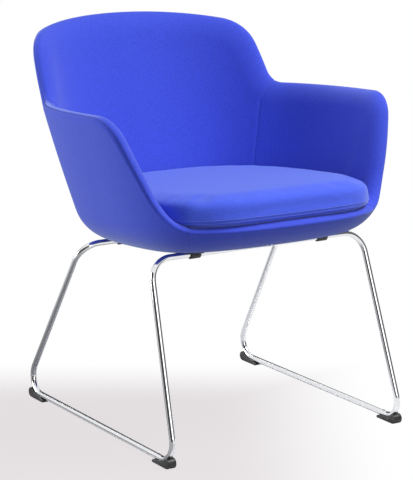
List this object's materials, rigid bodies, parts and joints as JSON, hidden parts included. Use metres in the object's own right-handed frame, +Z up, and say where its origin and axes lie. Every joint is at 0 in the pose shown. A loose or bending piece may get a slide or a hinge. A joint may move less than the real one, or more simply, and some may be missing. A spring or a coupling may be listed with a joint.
{
  "type": "sled-base tub chair",
  "caption": "Upholstered tub armchair with a loose seat cushion on a bent chrome-rod sled frame with black glides.",
  "frame": {"origin": "on the floor, under the middle of the chair's overall box", "axes": "+X to the sitter's left as seen from the front (the picture's right), -Y the way the sitter faces, +Z up"},
  "size_m": [0.65, 0.6878, 0.7741],
  "materials": {
    "chrome_rod": "bright polished chrome plate on round steel rod",
    "blue_fabric": "finely woven matt wool-blend upholstery in royal blue over foam",
    "black_plastic": "moulded black nylon, fine satin grain",
    "black_felt": "black non-woven cloth on thin board",
    "zinc_steel": "bright zinc-plated steel",
    "moulded_ply": "unfinished moulded plywood, hidden by the upholstery",
    "foam": "open-cell seat foam, hidden by the cushion"
  },
  "bodies": {
    "root": {"left_frame_loop": "chrome_rod", "right_frame_loop": "chrome_rod", "front_left_glide": "black_plastic", "front_right_glide": "black_plastic", "rear_left_glide": "black_plastic", "rear_right_glide": "black_plastic", "front_left_saddle": "black_plastic", "front_right_saddle": "black_plastic", "rear_left_saddle": "black_plastic", "rear_right_saddle": "black_plastic", "front_left_fore_screw": "zinc_steel", "front_left_fore_tee_nut": "zinc_steel", "front_left_aft_screw": "zinc_steel", "front_left_aft_tee_nut": "zinc_steel", "front_right_fore_screw": "zinc_steel", "front_right_fore_tee_nut": "zinc_steel", "front_right_aft_screw": "zinc_steel", "front_right_aft_tee_nut": "zinc_steel", "rear_left_fore_screw": "zinc_steel", "rear_left_fore_tee_nut": "zinc_steel", "rear_left_aft_screw": "zinc_steel", "rear_left_aft_tee_nut": "zinc_steel", "rear_right_fore_screw": "zinc_steel", "rear_right_fore_tee_nut": "zinc_steel", "rear_right_aft_screw": "zinc_steel", "rear_right_aft_tee_nut": "zinc_steel", "bottom_panel": "black_felt", "tub_shell": "moulded_ply", "inner_back_pad": "blue_fabric", "left_arm_pad": "blue_fabric", "right_arm_pad": "blue_fabric", "outer_back_cover": "blue_fabric", "left_outer_cover": "blue_fabric", "right_outer_cover": "blue_fabric", "front_apron": "blue_fabric", "seat_deck_foam": "foam", "seat_cushion": "blue_fabric"}
  },
  "joints": []
}
